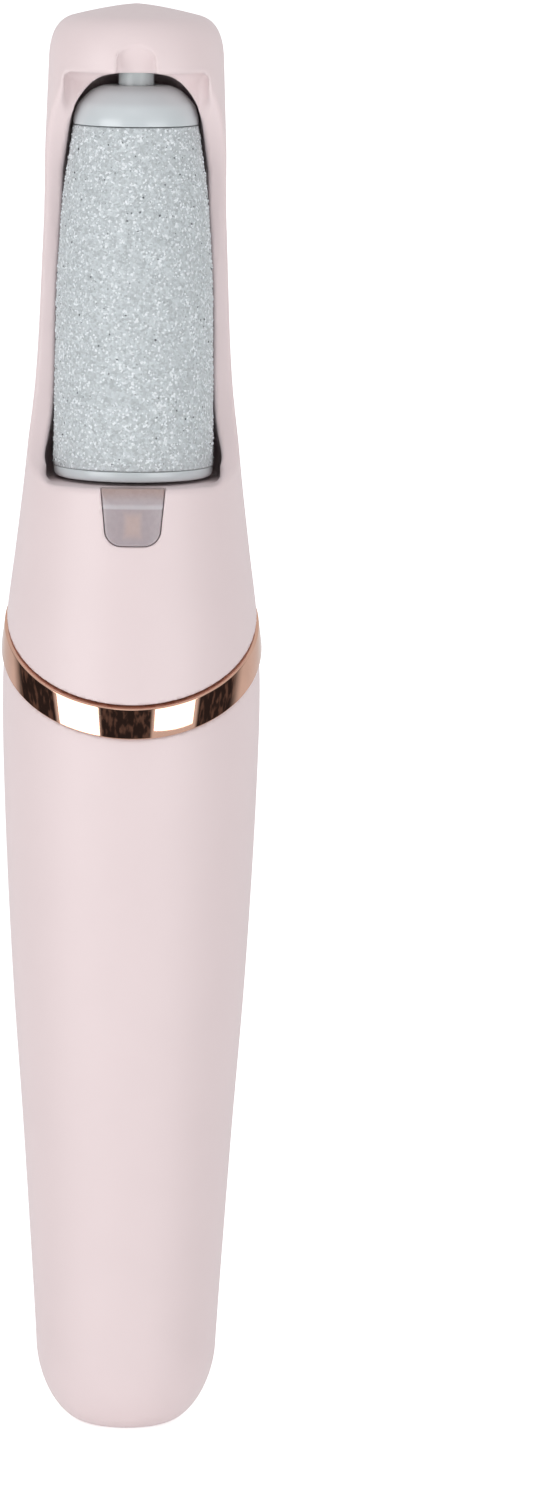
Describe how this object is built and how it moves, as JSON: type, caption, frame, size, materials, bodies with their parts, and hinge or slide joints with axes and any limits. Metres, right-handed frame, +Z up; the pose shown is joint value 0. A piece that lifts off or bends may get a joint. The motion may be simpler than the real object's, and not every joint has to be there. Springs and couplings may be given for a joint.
{
  "type": "electric callus remover",
  "caption": "Slim upright battery callus remover: windowed head with a spinning bullet-shaped abrasive roller, slanted metal ring, tapering handle.",
  "frame": {"origin": "centre of the flat base", "axes": "+Z up the barrel from the base to the crown, -Y out of the roller window, +X to the right of someone who looks at the roller"},
  "size_m": [0.0344, 0.0346, 0.19],
  "materials": {
    "shell": "satin moulded pale pink",
    "ring": "polished rose gold plating",
    "lens": "frosted translucent",
    "abrasive": "bonded mineral grit",
    "roller_plastic": "satin moulded light grey",
    "stub": "satin moulded off-white",
    "white_plastic": "moulded",
    "black_plastic": "moulded",
    "steel": "machined or stamped",
    "magnet": "sintered ferrite",
    "brass": "turned",
    "board": "green solder mask",
    "cell": "shrink-wrapped",
    "copper": "enamelled winding wire and bars",
    "rubber": "moulded",
    "wire_red": "insulation",
    "wire_black": "insulation"
  },
  "bodies": {
    "handle": {"handle_housing": "shell", "accent_ring": "ring", "head_housing": "shell", "top_bush": "white_plastic", "spindle_seal": "rubber", "led_lens": "lens", "led_board": "board", "work_led": "white_plastic", "gearbox_case": "white_plastic", "gearbox_screw_1": "steel", "gearbox_screw_2": "steel", "gearbox_screw_3": "steel", "gearbox_cover": "white_plastic", "output_bush": "brass", "motor_can": "steel", "motor_end_cap": "black_plastic", "motor_magnet_right": "magnet", "motor_magnet_left": "magnet", "motor_screw_1": "steel", "motor_screw_2": "steel", "inner_chassis": "white_plastic", "chassis_screw_1": "steel", "chassis_screw_2": "steel", "battery_cell": "cell", "battery_tab_positive": "steel", "battery_tab_negative": "steel", "main_board": "board", "charge_ic": "black_plastic", "charge_board": "board", "charge_port": "steel", "port_tongue": "black_plastic", "status_light_pipe": "lens", "slide_switch_body": "steel", "motor_wire_red": "wire_red", "led_wire_red": "wire_red", "battery_wire_red": "wire_red", "motor_wire_black": "wire_black", "led_wire_black": "wire_black", "battery_wire_black": "wire_black"},
    "roller": {"abrasive_sleeve": "abrasive", "roller_core": "roller_plastic", "roller_lower_ring": "roller_plastic", "roller_top_cap": "roller_plastic", "drive_socket": "black_plastic", "plunger_spring": "steel", "planet_carrier": "white_plastic", "drive_spindle": "steel"},
    "plunger": {"axle_plunger": "stub"},
    "planet_1": {"planet_gear_1": "white_plastic"},
    "planet_2": {"planet_gear_2": "white_plastic"},
    "planet_3": {"planet_gear_3": "white_plastic"},
    "rotor": {"motor_shaft": "steel", "sun_pinion": "brass", "armature_core": "steel", "armature_winding": "copper", "commutator": "copper"},
    "power_slider": {"switch_knob": "shell", "switch_lever": "black_plastic"}
  },
  "joints": [
    {"name": "roller_spin", "type": "hinge", "parent": "handle", "child": "roller", "pos_m": [0, 0, 0.15], "axis": [0, 0, 1], "continuous": true},
    {"name": "plunger_press", "type": "slide", "parent": "roller", "child": "plunger", "axis": [0, 0, -1], "range_m": [0, 0.0032], "stiffness_N_per_m": 400, "springref_m": -0.002, "deforming": ["plunger_spring"]},
    {"name": "planet_1_spin", "type": "hinge", "parent": "roller", "child": "planet_1", "pos_m": [0, 0.0072, 0.106], "axis": [0, 0, 1], "continuous": true},
    {"name": "planet_2_spin", "type": "hinge", "parent": "roller", "child": "planet_2", "pos_m": [-0.00624, -0.0036, 0.106], "axis": [0, 0, 1], "continuous": true},
    {"name": "planet_3_spin", "type": "hinge", "parent": "roller", "child": "planet_3", "pos_m": [0.00624, -0.0036, 0.106], "axis": [0, 0, 1], "continuous": true},
    {"name": "rotor_spin", "type": "hinge", "parent": "handle", "child": "rotor", "pos_m": [0, 0, 0.09], "axis": [0, 0, 1], "continuous": true},
    {"name": "power_slide", "type": "slide", "parent": "handle", "child": "power_slider", "axis": [0, 0.0599, 0.9982], "range_m": [0, 0.005]}
  ],
  "couplings": [
    {"joint": "planet_1_spin", "follows": "roller_spin", "ratio": -3},
    {"joint": "planet_2_spin", "follows": "roller_spin", "ratio": -3},
    {"joint": "planet_3_spin", "follows": "roller_spin", "ratio": -3},
    {"joint": "rotor_spin", "follows": "roller_spin", "ratio": 4}
  ]
}
